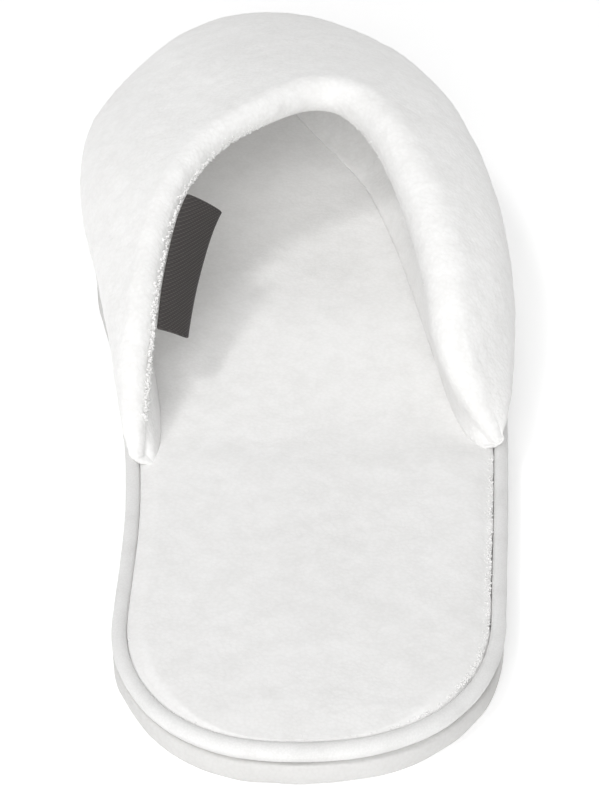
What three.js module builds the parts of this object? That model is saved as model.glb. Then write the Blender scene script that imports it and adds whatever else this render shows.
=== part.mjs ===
import * as THREE from "three";

// A padded terry slip-on for the right foot: millimetres, +X lateral, +Y to the toe, +Z up

// Driving sizes
const LENGTH = 285;
const BALL_WIDTH = 98;
const INSTEP_HEIGHT = 57;
const HEEL_ROUND = 44;
const TOE_ROUND = 66;
const TOE_SPRING = 3;
const SPRING_LENGTH = 55;
const OUTSOLE = 5.2;
const RIM_HEIGHT = 4.6;
const RECESS = 2.9;
const INSOLE_PAD = 2.5;
const INSOLE_PUFF = 0.9;
const SEAM_INSET = 3.6;
const WALL = 8;
const FOOT_WIDTH = 5.5;
const LABEL_WIDTH = 9.6;
const LABEL_THICKNESS = 0.7;
const CLEARANCE = 0.3;

// Heights that follow: each layer lies on the one below with the clearance between them
const RIM_BASE = OUTSOLE + CLEARANCE;
const RIM_TOP = RIM_BASE + RIM_HEIGHT;
const RECESS_FLOOR = RIM_TOP - RECESS - CLEARANCE;
const INSOLE_BASE = RECESS_FLOOR + CLEARANCE;
const INSOLE_TOP = INSOLE_BASE + INSOLE_PAD;
const SEAM_HEIGHT = INSOLE_TOP + CLEARANCE;
const VAMP_RISE = INSTEP_HEIGHT - WALL / 2 - SEAM_HEIGHT;

// Where the middle of the bounding box lies across the last, as a share of BALL_WIDTH
const MIDDLE = -0.02424;

// Mesh fineness
const OUTLINE_STEPS = 46;
const SOLE_COLUMNS = 4;
const INSOLE_COLUMNS = 8;
const UPPER_STATIONS = 74;
const WALL_STEPS = 13;
const ROLL_STEPS = 6;
const LABEL_STEPS = 14;
const LABEL_COLUMNS = 4;

// Sole outline before its ends are rounded: along is a share of LENGTH, the rest of BALL_WIDTH
const SOLE_ROWS = [
  { along: 0.0, medial: 0.41, lateral: 0.44 },
  { along: 0.13, medial: 0.418, lateral: 0.455 },
  { along: 0.28, medial: 0.408, lateral: 0.485 },
  { along: 0.4, medial: 0.43, lateral: 0.505 },
  { along: 0.52, medial: 0.48, lateral: 0.52 },
  { along: 0.64, medial: 0.54, lateral: 0.51 },
  { along: 0.76, medial: 0.565, lateral: 0.465 },
  { along: 0.88, medial: 0.53, lateral: 0.385 },
  { along: 1.0, medial: 0.47, lateral: 0.29 },
];
// Where the two ends come to their tips, as shares of BALL_WIDTH, and how square each is
const HEEL_TIP = -0.01;
const TOE_TIP = -0.112;
const HEEL_SQUARENESS = 2.3;
const TOE_SQUARENESS = 2.1;

// Middle of the rolled throat edge, from the lateral end (-1) over the instep to the medial end (1):
// across in shares of BALL_WIDTH, along of LENGTH, up of VAMP_RISE above the seam
const THROAT = [
  { at: -1.0, across: 0.47, along: 0.366, up: 0.045 },
  { at: -0.9, across: 0.419, along: 0.381, up: 0.225 },
  { at: -0.78, across: 0.376, along: 0.412, up: 0.41 },
  { at: -0.6, across: 0.366, along: 0.472, up: 0.6 },
  { at: -0.42, across: 0.326, along: 0.548, up: 0.76 },
  { at: -0.24, across: 0.24, along: 0.632, up: 0.91 },
  { at: -0.1, across: 0.134, along: 0.68, up: 0.975 },
  { at: 0.05, across: 0.015, along: 0.686, up: 0.99 },
  { at: 0.2, across: -0.115, along: 0.654, up: 0.985 },
  { at: 0.34, across: -0.24, along: 0.615, up: 0.925 },
  { at: 0.48, across: -0.328, along: 0.56, up: 0.825 },
  { at: 0.64, across: -0.373, along: 0.49, up: 0.65 },
  { at: 0.8, across: -0.392, along: 0.42, up: 0.43 },
  { at: 0.92, across: -0.393, along: 0.37, up: 0.215 },
  { at: 1.0, across: -0.388, along: 0.346, up: 0.045 },
];

// The vamp's sections: out and rise place the bulge over the seam, in shares of VAMP_RISE; reach is
// the flat run up to the throat, in shares of the section; lean is the outer face's angle in
// degrees (90 lies flat); thick is a share of WALL and foot of FOOT_WIDTH, both larger where the
// padding of the lateral side is deep; line is how straight the lining runs from foot to roll
const SECTIONS = [
  { at: -1.0, out: 0.07, rise: 0.05, reach: 0.1, lean: 45, thick: 0.4, foot: 0.5, line: 1 },
  { at: -0.85, out: 0.27, rise: 0.24, reach: 0.3, lean: 52, thick: 1.1, foot: 1.9, line: 1 },
  { at: -0.6, out: 0.17, rise: 0.38, reach: 0.38, lean: 58, thick: 1.6, foot: 3.6, line: 0.9 },
  { at: -0.3, out: 0.0, rise: 0.3, reach: 0.46, lean: 66, thick: 1.6, foot: 4.2, line: 0.1 },
  { at: 0.0, out: 0.22, rise: 0.57, reach: 0.52, lean: 78, thick: 1.15, foot: 2.0, line: 0 },
  { at: 0.3, out: 0.33, rise: 0.57, reach: 0.45, lean: 68, thick: 1.0, foot: 1.2, line: 0 },
  { at: 0.6, out: 0.26, rise: 0.4, reach: 0.35, lean: 45, thick: 0.95, foot: 1.0, line: 0.1 },
  { at: 0.85, out: 0.18, rise: 0.22, reach: 0.22, lean: 24, thick: 0.88, foot: 1.0, line: 0.8 },
  { at: 1.0, out: 0.07, rise: 0.05, reach: 0.1, lean: 20, thick: 0.45, foot: 0.6, line: 1 },
];

// Soft dents in the quilting of the vamp: at and across are the middle of each (across runs from
// 0 at the seam to 1 at the throat), wide and tall its reach, deep a share of WALL
const DENTS = [
  { at: -0.42, across: 0.45, wide: 0.16, tall: 0.22, deep: 0.26 },
  { at: -0.2, across: 0.32, wide: 0.1, tall: 0.2, deep: 0.1 },
  { at: 0.08, across: 0.62, wide: 0.12, tall: 0.2, deep: 0.1 },
  { at: 0.3, across: 0.5, wide: 0.1, tall: 0.2, deep: 0.12 },
  { at: 0.55, across: 0.6, wide: 0.1, tall: 0.25, deep: 0.1 },
];

// Where the upper starts along the foot, as shares of LENGTH, and how its ribs fan out
const LATERAL_END = 0.362;
const MEDIAL_END = 0.34;
const FAN = 1.6;

// Label: from and to are stations of the throat, the angles are below the horizontal in degrees,
// and narrowing is the share of its width that it loses towards its heel end
const LABEL = { from: 0.47, to: 0.765, sewn: 10, droop: 16, narrowing: 0.2 };

// Rounded sides of the layers from the bottom up: in is the inset and up the height, both as
// shares of the layer's own thickness
const OUTSOLE_SIDE = [
  { in: 0.17, up: 0 },
  { in: 0.05, up: 0.07 },
  { in: 0, up: 0.21 },
  { in: 0.06, up: 0.87 },
  { in: 0.15, up: 1 },
];
const RIM_SIDE = [
  { in: 0.28, up: 0 },
  { in: 0.1, up: 0.12 },
  { in: 0.02, up: 0.4 },
  { in: 0.05, up: 0.7 },
  { in: 0.2, up: 0.93 },
  { in: 0.41, up: 1 },
  { in: 0.59, up: 0.95 },
  { in: 0.72, up: 0.82 },
];
const INSOLE_SIDE = [
  { in: 0.24, up: 0 },
  { in: 0, up: 0.2 },
  { in: 0, up: 0.72 },
  { in: 0.32, up: 1 },
];

const MATERIALS = {
  outsole: new THREE.MeshStandardMaterial({ color: 0xb9b4ae, roughness: 0.75 }),
  platform: new THREE.MeshStandardMaterial({ color: 0xe9e6e2, roughness: 0.85 }),
  insole: new THREE.MeshStandardMaterial({ color: 0xe3dfda, roughness: 0.95 }),
  upper: new THREE.MeshStandardMaterial({ color: 0xf1eeea, roughness: 0.95 }),
  label: new THREE.MeshStandardMaterial({ color: 0x484443, roughness: 0.8 }),
};

const clamp = THREE.MathUtils.clamp;
const lerp = THREE.MathUtils.lerp;
const soft = (x) => THREE.MathUtils.smoothstep(x, 0, 1);
const radians = THREE.MathUtils.degToRad;

// A column of a table read at x, as a smooth curve through its rows
function read(table, key, column, x) {
  const last = table.length - 1;
  let i = 0;
  while (i < last - 1 && x > table[i + 1][key]) i += 1;
  const slope = (k) => {
    const before = table[Math.max(k - 1, 0)];
    const after = table[Math.min(k + 1, last)];
    return (after[column] - before[column]) / (after[key] - before[key]);
  };
  const step = table[i + 1][key] - table[i][key];
  const t = (x - table[i][key]) / step;
  const start = (1 + 2 * t) * (1 - t) ** 2 * table[i][column];
  const end = t * t * (3 - 2 * t) * table[i + 1][column];
  const bend = t * (1 - t) ** 2 * slope(i) - t * t * (1 - t) * slope(i + 1);
  return start + end + bend * step;
}

// Half of the sole outline: x at a distance y from the heel, side +1 lateral or -1 medial
function outlineX(y, side) {
  const column = side > 0 ? "lateral" : "medial";
  const x = side * read(SOLE_ROWS, "along", column, y / LENGTH) * BALL_WIDTH;
  const tip = (y < LENGTH / 2 ? HEEL_TIP : TOE_TIP) * BALL_WIDTH;
  const heel = clamp(1 - y / HEEL_ROUND, 0, 1);
  const toe = clamp(1 - (LENGTH - y) / TOE_ROUND, 0, 1);
  const round = (share, square) => (1 - share ** square) ** (1 / square);
  return tip + (x - tip) * round(heel, HEEL_SQUARENESS) * round(toe, TOE_SQUARENESS);
}

// The whole outline, counterclockwise from the heel along the lateral side, moved in by inset
function outline(inset) {
  const points = [];
  for (let i = 0; i < 2 * OUTLINE_STEPS; i += 1) {
    const angle = (Math.PI * i) / OUTLINE_STEPS;
    const y = (LENGTH * (1 - Math.cos(angle))) / 2;
    points.push(new THREE.Vector2(outlineX(y, i <= OUTLINE_STEPS ? 1 : -1), y));
  }
  return points.map((point, i) => {
    const before = points.at(i - 1);
    const after = points[(i + 1) % points.length];
    const run = after.clone().sub(before).normalize();
    return new THREE.Vector2(point.x - run.y * inset, point.y + run.x * inset);
  });
}

// Toe spring: how far everything is raised at a distance y from the heel
function spring(y) {
  return TOE_SPRING * Math.max(0, 1 - (LENGTH - y) / SPRING_LENGTH) ** 2;
}

// A closed mesh that is filled point by point and face by face
class Solid {
  constructor() {
    this.positions = [];
    this.faces = [];
  }

  point(x, y, z) {
    this.positions.push(x - MIDDLE * BALL_WIDTH, y - LENGTH / 2, z + spring(y));
    return this.positions.length / 3 - 1;
  }

  quad(a, b, c, d) {
    this.faces.push(a, b, c, a, c, d);
  }

  // Joins two rows of point numbers with quads, around the whole row if it is closed
  strip(low, high, closed) {
    const count = closed ? low.length : low.length - 1;
    for (let i = 0; i < count; i += 1) {
      const next = (i + 1) % low.length;
      this.quad(low[i], low[next], high[next], high[i]);
    }
  }

  mesh(name, material) {
    const geometry = new THREE.BufferGeometry();
    geometry.setAttribute("position", new THREE.Float32BufferAttribute(this.positions, 3));
    geometry.setIndex(this.faces);
    geometry.computeVertexNormals();
    const mesh = new THREE.Mesh(geometry, material);
    mesh.name = name;
    return mesh;
  }
}

// Closes a ring of the outline with rungs from side to side; height(y, share) gives z, and share
// runs from 0 at the lateral side to 1 at the medial side
function addLid(solid, ring, edge, columns, height, facesUp) {
  const half = OUTLINE_STEPS;
  const rungs = [];
  for (let i = 1; i < half; i += 1) {
    const lateral = edge[i];
    const medial = edge[2 * half - i];
    const rung = [ring[i]];
    for (let k = 1; k < columns; k += 1) {
      const share = k / columns;
      const y = lerp(lateral.y, medial.y, share);
      rung.push(solid.point(lerp(lateral.x, medial.x, share), y, height(y, share)));
    }
    rung.push(ring[2 * half - i]);
    rungs.push(rung);
  }
  const face = (a, b, c) => solid.faces.push(...(facesUp ? [a, b, c] : [a, c, b]));
  for (let i = 1; i < rungs.length; i += 1) {
    for (let k = 0; k < columns; k += 1) {
      face(rungs[i - 1][k], rungs[i][k], rungs[i][k + 1]);
      face(rungs[i - 1][k], rungs[i][k + 1], rungs[i - 1][k + 1]);
    }
  }
  const first = rungs[0];
  const last = rungs.at(-1);
  for (let k = 0; k < columns; k += 1) {
    face(ring[0], first[k], first[k + 1]);
    face(ring[half], last[k + 1], last[k]);
  }
}

// A layer of the sole: rings go from the bottom up around the outside and may turn down inside
function makeLayer(name, material, rings, columns, floor, roof) {
  const solid = new Solid();
  let below = null;
  let bottomEdge = null;
  let bottomRing = null;
  let edge = null;
  for (const { inset, z } of rings) {
    edge = outline(inset);
    const ring = edge.map((point) => solid.point(point.x, point.y, z));
    if (below) solid.strip(below, ring, true);
    bottomEdge ??= edge;
    bottomRing ??= ring;
    below = ring;
  }
  addLid(solid, bottomRing, bottomEdge, columns, floor, false);
  addLid(solid, below, edge, columns, roof, true);
  return solid.mesh(name, material);
}

// The rings of a rounded side, for a layer of this thickness on this base
function sideRings(side, thickness, base, inset) {
  return side.map((ring) => ({ inset: inset + ring.in * thickness, z: base + ring.up * thickness }));
}

function makeOutsole() {
  const rings = sideRings(OUTSOLE_SIDE, OUTSOLE, 0, 0);
  return makeLayer("outsole", MATERIALS.outsole, rings, SOLE_COLUMNS, () => 0, () => OUTSOLE);
}

// The fabric-wrapped platform: a padded rim around the recess that holds the insole
function makePlatform() {
  const rings = sideRings(RIM_SIDE, RIM_HEIGHT, RIM_BASE, 0);
  rings.push({ inset: rings.at(-1).inset, z: RECESS_FLOOR });
  const floor = () => RIM_BASE;
  const roof = () => RECESS_FLOOR;
  return makeLayer("midsole", MATERIALS.platform, rings, SOLE_COLUMNS, floor, roof);
}

// The terry insole: it puffs up in front of the heel and steps down softly under the vamp
function makeInsole() {
  const step = lerp(LATERAL_END, MEDIAL_END, 0.5) * LENGTH;
  const puff = (y, share) => {
    const inside = soft((0.5 - Math.abs(share - 0.5)) / 0.25);
    const ends = soft((y - SEAM_INSET) / HEEL_ROUND);
    const ahead = soft((y - step) / HEEL_ROUND);
    return INSOLE_TOP + INSOLE_PUFF * inside * ends * (1 - ahead);
  };
  const rings = sideRings(INSOLE_SIDE, INSOLE_PAD, INSOLE_BASE, SEAM_INSET);
  return makeLayer("insole", MATERIALS.insole, rings, INSOLE_COLUMNS, () => INSOLE_BASE, puff);
}

// A station of the throat: the middle of the roll there
function throatPoint(at) {
  return new THREE.Vector3(
    read(THROAT, "at", "across", at) * BALL_WIDTH,
    read(THROAT, "at", "along", at) * LENGTH,
    SEAM_HEIGHT + read(THROAT, "at", "up", at) * VAMP_RISE,
  );
}

// The point of the sole outline under a station of the throat
function outlinePoint(at) {
  const start = (at < 0 ? LATERAL_END : MEDIAL_END) * LENGTH;
  const y = start + (LENGTH - start) * Math.abs(Math.cos((Math.PI / 2) * at)) ** FAN;
  return new THREE.Vector3(outlineX(y, at < 0 ? 1 : -1), y, SEAM_HEIGHT);
}

// The direction in which a path over the stations runs
function runOf(path, at) {
  const reach = 0.001;
  const ahead = path(Math.min(at + reach, 1));
  return ahead.sub(path(Math.max(at - reach, -1))).normalize();
}

// The frame of the rolled edge at a station: out of the outer face, and into the opening
function rollFrame(at) {
  const run = runOf(throatPoint, at);
  const lean = radians(read(SECTIONS, "at", "lean", at));
  const flat = new THREE.Vector3(run.y, -run.x, 0).normalize();
  const below = runOf(outlinePoint, at);
  flat.lerp(new THREE.Vector3(below.y, -below.x, 0), soft((Math.abs(at) - 0.65) / 0.25)).normalize();
  const normal = flat.multiplyScalar(Math.cos(lean)).setZ(Math.sin(lean));
  normal.addScaledVector(run, -normal.dot(run)).normalize();
  const inward = normal.clone().cross(run);
  const radius = (read(SECTIONS, "at", "thick", at) * WALL) / 2;
  return { middle: throatPoint(at), run, normal, inward, radius };
}

// The outer face of the vamp over its seam
function outerCurve(at) {
  const run = runOf(outlinePoint, at);
  const outward = new THREE.Vector3(run.y, -run.x, 0);
  const seam = outlinePoint(at).addScaledVector(outward, -SEAM_INSET);
  const { middle, normal, inward, radius } = rollFrame(at);
  const end = middle.addScaledVector(normal, radius);
  const bulge = seam.clone().addScaledVector(outward, read(SECTIONS, "at", "out", at) * VAMP_RISE);
  bulge.z += read(SECTIONS, "at", "rise", at) * VAMP_RISE;
  const reach = read(SECTIONS, "at", "reach", at) * seam.distanceTo(end);
  const shoulder = end.clone().addScaledVector(inward, -reach);
  return { curve: new THREE.CubicBezierCurve3(seam, bulge, shoulder, end), seam, outward };
}

function dentAt(at, across) {
  let depth = 0;
  for (const dent of DENTS) {
    const distance = ((at - dent.at) / dent.wide) ** 2 + ((across - dent.across) / dent.tall) ** 2;
    depth += dent.deep * WALL * Math.exp(-distance);
  }
  return depth * soft((1 - across) / 0.2) * soft(across / 0.15);
}

// One closed section of the upper: up the outer face, over the roll, down the inner face
function upperSection(at) {
  const reach = 0.002;
  const { curve, seam, outward } = outerCurve(at);
  const ahead = outerCurve(Math.min(at + reach, 1)).curve;
  const behind = outerCurve(Math.max(at - reach, -1)).curve;
  const { middle, normal, inward, radius } = rollFrame(at);
  const footWidth = read(SECTIONS, "at", "foot", at) * FOOT_WIDTH;
  const foot = seam.clone().addScaledVector(outward, -footWidth);
  const innerEnd = middle.clone().addScaledVector(normal, -radius);
  const straight = clamp(read(SECTIONS, "at", "line", at), 0, 1);
  const outer = [];
  const inner = [];
  for (let i = 0; i < WALL_STEPS; i += 1) {
    const share = i / (WALL_STEPS - 1);
    const along = ahead.getPoint(share).sub(behind.getPoint(share));
    const face = along.cross(curve.getTangent(share)).normalize();
    const point = curve.getPoint(share);
    outer.push(point.clone().addScaledVector(face, -dentAt(at, share)));
    const offset = i === WALL_STEPS - 1 ? innerEnd.clone() : point.addScaledVector(face, -2 * radius);
    const lining = foot.clone().lerp(offset, soft(share / 0.35));
    lining.lerp(foot.clone().lerp(innerEnd, share), straight);
    lining.z = Math.max(lining.z, SEAM_HEIGHT);
    inner.unshift(lining);
  }
  const roll = [];
  for (let i = 1; i <= ROLL_STEPS; i += 1) {
    const angle = (Math.PI * i) / (ROLL_STEPS + 1);
    const point = middle.clone().addScaledVector(normal, radius * Math.cos(angle));
    roll.push(point.addScaledVector(inward, radius * Math.sin(angle)));
  }
  return [...outer, ...roll, ...inner];
}

function makeUpper() {
  const solid = new Solid();
  const rings = [];
  for (let i = 0; i <= UPPER_STATIONS; i += 1) {
    const at = Math.sin((Math.PI / 2) * (-1 + (2 * i) / UPPER_STATIONS));
    rings.push(upperSection(lerp(-1 + (2 * i) / UPPER_STATIONS, at, 0.35)));
  }
  const rows = rings.map((ring) => ring.map((p) => solid.point(p.x, p.y, p.z)));
  for (let i = 1; i < rows.length; i += 1) solid.strip(rows[i], rows[i - 1], true);
  for (const [ring, row, flip] of [[rings[0], rows[0], false], [rings.at(-1), rows.at(-1), true]]) {
    const middle = new THREE.Vector3();
    for (const point of ring) middle.addScaledVector(point, 1 / ring.length);
    const hub = solid.point(middle.x, middle.y, middle.z);
    row.forEach((a, i) => {
      const b = row[(i + 1) % row.length];
      solid.faces.push(...(flip ? [hub, b, a] : [hub, a, b]));
    });
  }
  return solid.mesh("upper", MATERIALS.upper);
}

// The woven label: a strip sewn along the inside of the medial throat edge, hanging inward
function makeLabel() {
  const solid = new Solid();
  const faces = { top: [], bottom: [] };
  for (let i = 0; i <= LABEL_STEPS; i += 1) {
    const share = i / LABEL_STEPS;
    const { middle, run, radius } = rollFrame(lerp(LABEL.from, LABEL.to, share));
    const step = (LABEL_WIDTH * (1 - LABEL.narrowing * share)) / LABEL_COLUMNS;
    const inward = new THREE.Vector3(-run.y, run.x, 0).normalize();
    const start = radius + CLEARANCE + LABEL_THICKNESS / 2;
    const sewn = radians(LABEL.sewn);
    const place = middle.clone().addScaledVector(inward, start * Math.cos(sewn));
    place.z -= start * Math.sin(sewn);
    const rows = { top: [], bottom: [] };
    for (let k = 0; k <= LABEL_COLUMNS; k += 1) {
      const angle = sewn + (radians(LABEL.droop) * k) / LABEL_COLUMNS;
      const up = inward.clone().multiplyScalar(Math.sin(angle)).setZ(Math.cos(angle));
      for (const [side, offset] of [["top", 0.5], ["bottom", -0.5]]) {
        const p = place.clone().addScaledVector(up, offset * LABEL_THICKNESS);
        rows[side].push(solid.point(p.x, p.y, p.z));
      }
      place.addScaledVector(inward, step * Math.cos(angle));
      place.z -= step * Math.sin(angle);
    }
    faces.top.push(rows.top);
    faces.bottom.push(rows.bottom);
  }
  const around = faces.top.map((row, i) => [...row, ...faces.bottom[i].toReversed()]);
  for (let i = 1; i < around.length; i += 1) solid.strip(around[i], around[i - 1], true);
  solid.strip(faces.top[0], faces.bottom[0], false);
  solid.strip(faces.bottom.at(-1), faces.top.at(-1), false);
  return solid.mesh("label", MATERIALS.label);
}

const slipper = new THREE.Group();
slipper.add(makeOutsole(), makePlatform(), makeInsole(), makeUpper(), makeLabel());

export default slipper;
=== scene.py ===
"""Dress a right-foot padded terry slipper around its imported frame, in metres."""

from __future__ import annotations

import logging
from collections.abc import Callable
from dataclasses import dataclass, field
from enum import Enum

import bpy
import numpy as np
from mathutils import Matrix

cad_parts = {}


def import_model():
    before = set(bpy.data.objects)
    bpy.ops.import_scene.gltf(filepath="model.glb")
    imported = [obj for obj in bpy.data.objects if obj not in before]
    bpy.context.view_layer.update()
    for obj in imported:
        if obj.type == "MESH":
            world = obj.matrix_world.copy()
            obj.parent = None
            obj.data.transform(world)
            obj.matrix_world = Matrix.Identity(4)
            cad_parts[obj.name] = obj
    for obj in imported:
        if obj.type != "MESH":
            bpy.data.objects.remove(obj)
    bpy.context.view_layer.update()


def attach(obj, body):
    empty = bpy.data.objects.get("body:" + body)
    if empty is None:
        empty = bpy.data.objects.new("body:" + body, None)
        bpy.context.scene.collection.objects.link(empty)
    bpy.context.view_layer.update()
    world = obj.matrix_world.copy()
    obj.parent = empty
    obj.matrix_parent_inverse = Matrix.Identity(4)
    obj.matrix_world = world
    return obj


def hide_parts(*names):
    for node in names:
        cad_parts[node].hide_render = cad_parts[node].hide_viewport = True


LOG = logging.getLogger("slipper")
MM = 0.001


class Side(Enum):
    """The two sides of a right shoe."""

    LATERAL = 1
    MEDIAL = -1


# Small array helpers


def soft_step(x: np.ndarray) -> np.ndarray:
    """Return the smooth step 3x^2 - 2x^3 of x held between 0 and 1."""
    held = np.clip(x, 0.0, 1.0)
    return held * held * (3.0 - 2.0 * held)


def unit(vectors: np.ndarray) -> np.ndarray:
    """Return the vectors with their last axis scaled to length 1."""
    return vectors / np.maximum(np.linalg.norm(vectors, axis=-1, keepdims=True), 1e-12)


def lattice_value(cell: np.ndarray, seed: int) -> np.ndarray:
    """Return a repeatable value from -1 to 1 for each whole-numbered cell.

    The value is the fractional part of a large sine of the cell's dot product with three odd
    numbers, stretched to the range -1 to 1.

    Args:
        cell: Whole coordinates, shape (..., 3).
        seed: Picks one of many independent patterns.

    Returns:
        One value per cell, shape (...).
    """
    mixed = cell @ np.array([127.1, 311.7, 74.7]) + seed * 19.19
    scattered = np.sin(mixed) * 43758.5453
    return 2.0 * (scattered - np.floor(scattered)) - 1.0


def value_noise(points: np.ndarray, size: float, seed: int) -> np.ndarray:
    """Return smooth noise from -1 to 1 with lumps of a given size.

    The eight corners of each point's cell carry lattice values, blended along the three axes with
    the soft step of the point's place in the cell.

    Args:
        points: Places in space, shape (..., 3).
        size: Edge of a cell in metres.
        seed: Picks the pattern.

    Returns:
        One value per point, shape (...).
    """
    scaled = points / size
    cell = np.floor(scaled)
    blend = soft_step(scaled - cell)
    total = np.zeros(points.shape[:-1])
    for corner in np.ndindex(2, 2, 2):
        offset = np.array(corner, dtype=float)
        weight = np.prod(np.where(offset > 0.5, blend, 1.0 - blend), axis=-1)
        total += weight * lattice_value(cell + offset, seed)
    return total


def grid_normals(grid: np.ndarray, closed: bool) -> np.ndarray:
    """Return the unit normals of a grid of points.

    The normal is the cross product of the differences along the two grid directions.

    Args:
        grid: Points, shape (rows, columns, 3).
        closed: Whether each row closes on itself.

    Returns:
        Normals of the same shape.
    """
    along = np.gradient(grid, axis=0)
    across = (np.roll(grid, -1, 1) - np.roll(grid, 1, 1)) if closed else np.gradient(grid, axis=1)
    return unit(np.cross(along, across))


def grid_quads(index: np.ndarray, closed: bool) -> np.ndarray:
    """Return the quads between neighbouring entries of a grid of vertex numbers.

    Args:
        index: Vertex numbers, shape (rows, columns).
        closed: Whether each row closes on itself.

    Returns:
        Quads, shape (count, 4), turning from one row to the next.
    """
    beside = np.roll(index, -1, axis=1)
    last = index.shape[1] if closed else index.shape[1] - 1
    low, high = index[:-1, :last], index[1:, :last]
    low_beside, high_beside = beside[:-1, :last], beside[1:, :last]
    return np.stack([low, high, high_beside, low_beside], axis=-1).reshape(-1, 4)


def make_mesh(name: str, points: np.ndarray, faces: list[np.ndarray]) -> bpy.types.Object:
    """Make a smooth-shaded mesh object from arrays.

    Args:
        name: The object's name.
        points: Vertex places, shape (count, 3).
        faces: Arrays of vertex numbers, one array for each number of corners.

    Returns:
        The linked object, at the origin.
    """
    mesh = bpy.data.meshes.new(name)
    corners = np.concatenate([block.reshape(-1) for block in faces]).astype(np.int32)
    totals = np.concatenate([np.full(len(block), block.shape[1]) for block in faces])
    starts = np.concatenate([[0], np.cumsum(totals)[:-1]])
    mesh.vertices.add(len(points))
    mesh.vertices.foreach_set("co", points.astype(np.float32).reshape(-1))
    mesh.loops.add(len(corners))
    mesh.loops.foreach_set("vertex_index", corners)
    mesh.polygons.add(len(totals))
    mesh.polygons.foreach_set("loop_start", starts.astype(np.int32))
    mesh.polygons.foreach_set("loop_total", totals.astype(np.int32))
    mesh.polygons.foreach_set("use_smooth", np.ones(len(totals), dtype=bool))
    mesh.update(calc_edges=True)
    mesh.validate()
    piece = bpy.data.objects.new(name, mesh)
    bpy.context.scene.collection.objects.link(piece)
    return piece


# The last: sizes and tables that every piece follows


@dataclass(frozen=True)
class Table:
    """Rows of listed shares, read as a smooth curve that passes each row."""

    columns: tuple[str, ...]
    rows: tuple[tuple[float, ...], ...]

    def read(self, column: str, at: np.ndarray) -> np.ndarray:
        """Read a column at given values of the first one.

        Between two rows the curve is the cubic with their values and the slopes of their
        neighbours' differences.

        Args:
            column: Name of the column to read.
            at: Values of the first column.

        Returns:
            The column's values there.
        """
        data = np.array(self.rows)
        keys, values = data[:, 0], data[:, self.columns.index(column)]
        last = len(keys) - 1
        before = np.maximum(np.arange(last + 1) - 1, 0)
        after = np.minimum(np.arange(last + 1) + 1, last)
        slopes = (values[after] - values[before]) / (keys[after] - keys[before])
        i = np.clip(np.searchsorted(keys, at, side="left") - 1, 0, last - 1)
        step = keys[i + 1] - keys[i]
        t = (np.asarray(at) - keys[i]) / step
        held = (1 + 2 * t) * (1 - t) ** 2 * values[i] + t * t * (3 - 2 * t) * values[i + 1]
        return held + step * (t * (1 - t) ** 2 * slopes[i] - t * t * (1 - t) * slopes[i + 1])


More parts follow.
